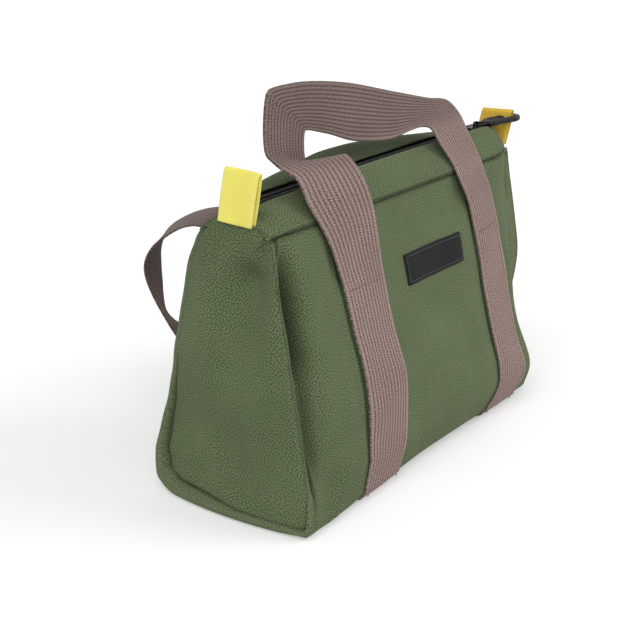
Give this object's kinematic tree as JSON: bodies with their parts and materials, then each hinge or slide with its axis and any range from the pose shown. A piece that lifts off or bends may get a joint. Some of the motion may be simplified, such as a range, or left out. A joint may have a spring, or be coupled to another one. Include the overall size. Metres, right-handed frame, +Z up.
{
  "type": "canvas tool bag",
  "caption": "Small zip-top canvas tool bag with rounded base, webbing carry handles, zip-end pull tabs and a bare label patch.",
  "frame": {"origin": "on the floor under the middle of the base, at the flat face the bag stands on", "axes": "+X along the bag's length towards the end where the slider is parked, -Y to the front that carries the label, +Z up"},
  "size_m": [0.353, 0.1956, 0.2628],
  "materials": {
    "canvas": "plain-weave cotton canvas, matt",
    "webbing": "ribbed polyester webbing",
    "yellow_tab": "woven tape, bright yellow",
    "amber_tab": "woven tape, amber",
    "zip_tape": "woven zip tape, black",
    "zip_teeth": "moulded teeth, black",
    "zip_metal": "black enamel",
    "label": "bare woven patch, black"
  },
  "bodies": {
    "bag": {"front_panel": "canvas", "back_panel": "canvas", "base_panel": "canvas", "left_gusset": "canvas", "right_gusset": "canvas", "front_lip_left_end": "canvas", "front_lip_right_end": "canvas", "rear_lip_left_end": "canvas", "rear_lip_right_end": "canvas", "front_left_webbing": "webbing", "back_left_webbing": "webbing", "base_left_webbing": "webbing", "front_right_webbing": "webbing", "back_right_webbing": "webbing", "base_right_webbing": "webbing", "left_tab": "yellow_tab", "right_tab": "amber_tab", "left_zip_end": "zip_tape", "right_zip_end": "zip_tape", "label_patch": "label"},
    "front_lip": {"front_lip": "canvas", "front_zip_tape": "zip_tape", "front_zip_teeth": "zip_teeth"},
    "rear_lip": {"rear_lip": "canvas", "rear_zip_tape": "zip_tape", "rear_zip_teeth": "zip_teeth"},
    "zip_slider": {"zip_slider": "zip_metal"},
    "zip_puller": {"zip_puller": "zip_metal"},
    "front_handle": {"front_handle": "webbing"},
    "rear_handle_roots": {"rear_handle_left_root": "webbing", "rear_handle_right_root": "webbing"},
    "rear_handle": {"rear_handle": "webbing"}
  },
  "joints": [
    {"name": "zip_slide", "type": "slide", "parent": "bag", "child": "zip_slider", "axis": [1, 0, 0], "range_m": [-0.274, 0]},
    {"name": "puller_swing", "type": "hinge", "parent": "zip_slider", "child": "zip_puller", "pos_m": [0.1373, 0, 0.20561], "axis": [0.5299, 0.848, 0], "range_deg": [-165, 0]},
    {"name": "front_handle_swing", "type": "hinge", "parent": "bag", "child": "front_handle", "pos_m": [0, -0.0434, 0.1431], "axis": [1, 0, 0], "range_deg": [0, 155]},
    {"name": "front_lip_open", "type": "hinge", "parent": "bag", "child": "front_lip", "pos_m": [0, -0.033, 0.19], "axis": [1, 0, 0], "range_deg": [0, 70]},
    {"name": "rear_lip_open", "type": "hinge", "parent": "bag", "child": "rear_lip", "pos_m": [0, 0.033, 0.19], "axis": [-1, 0, 0], "range_deg": [0, 70]},
    {"name": "rear_handle_swing", "type": "hinge", "parent": "bag", "child": "rear_handle_roots", "pos_m": [0, 0.0433, 0.1428], "axis": [-1, 0, 0], "range_deg": [-52, 0]},
    {"name": "rear_handle_unfold", "type": "hinge", "parent": "rear_handle_roots", "child": "rear_handle", "pos_m": [0, 0.0775, 0.1692], "axis": [-1, 0, 0], "range_deg": [-75, 0]}
  ],
  "couplings": [
    {"joint": "front_lip_open", "follows": "front_handle_swing", "ratio": 0.45},
    {"joint": "rear_handle_unfold", "follows": "rear_handle_swing", "ratio": 1.44}
  ]
}
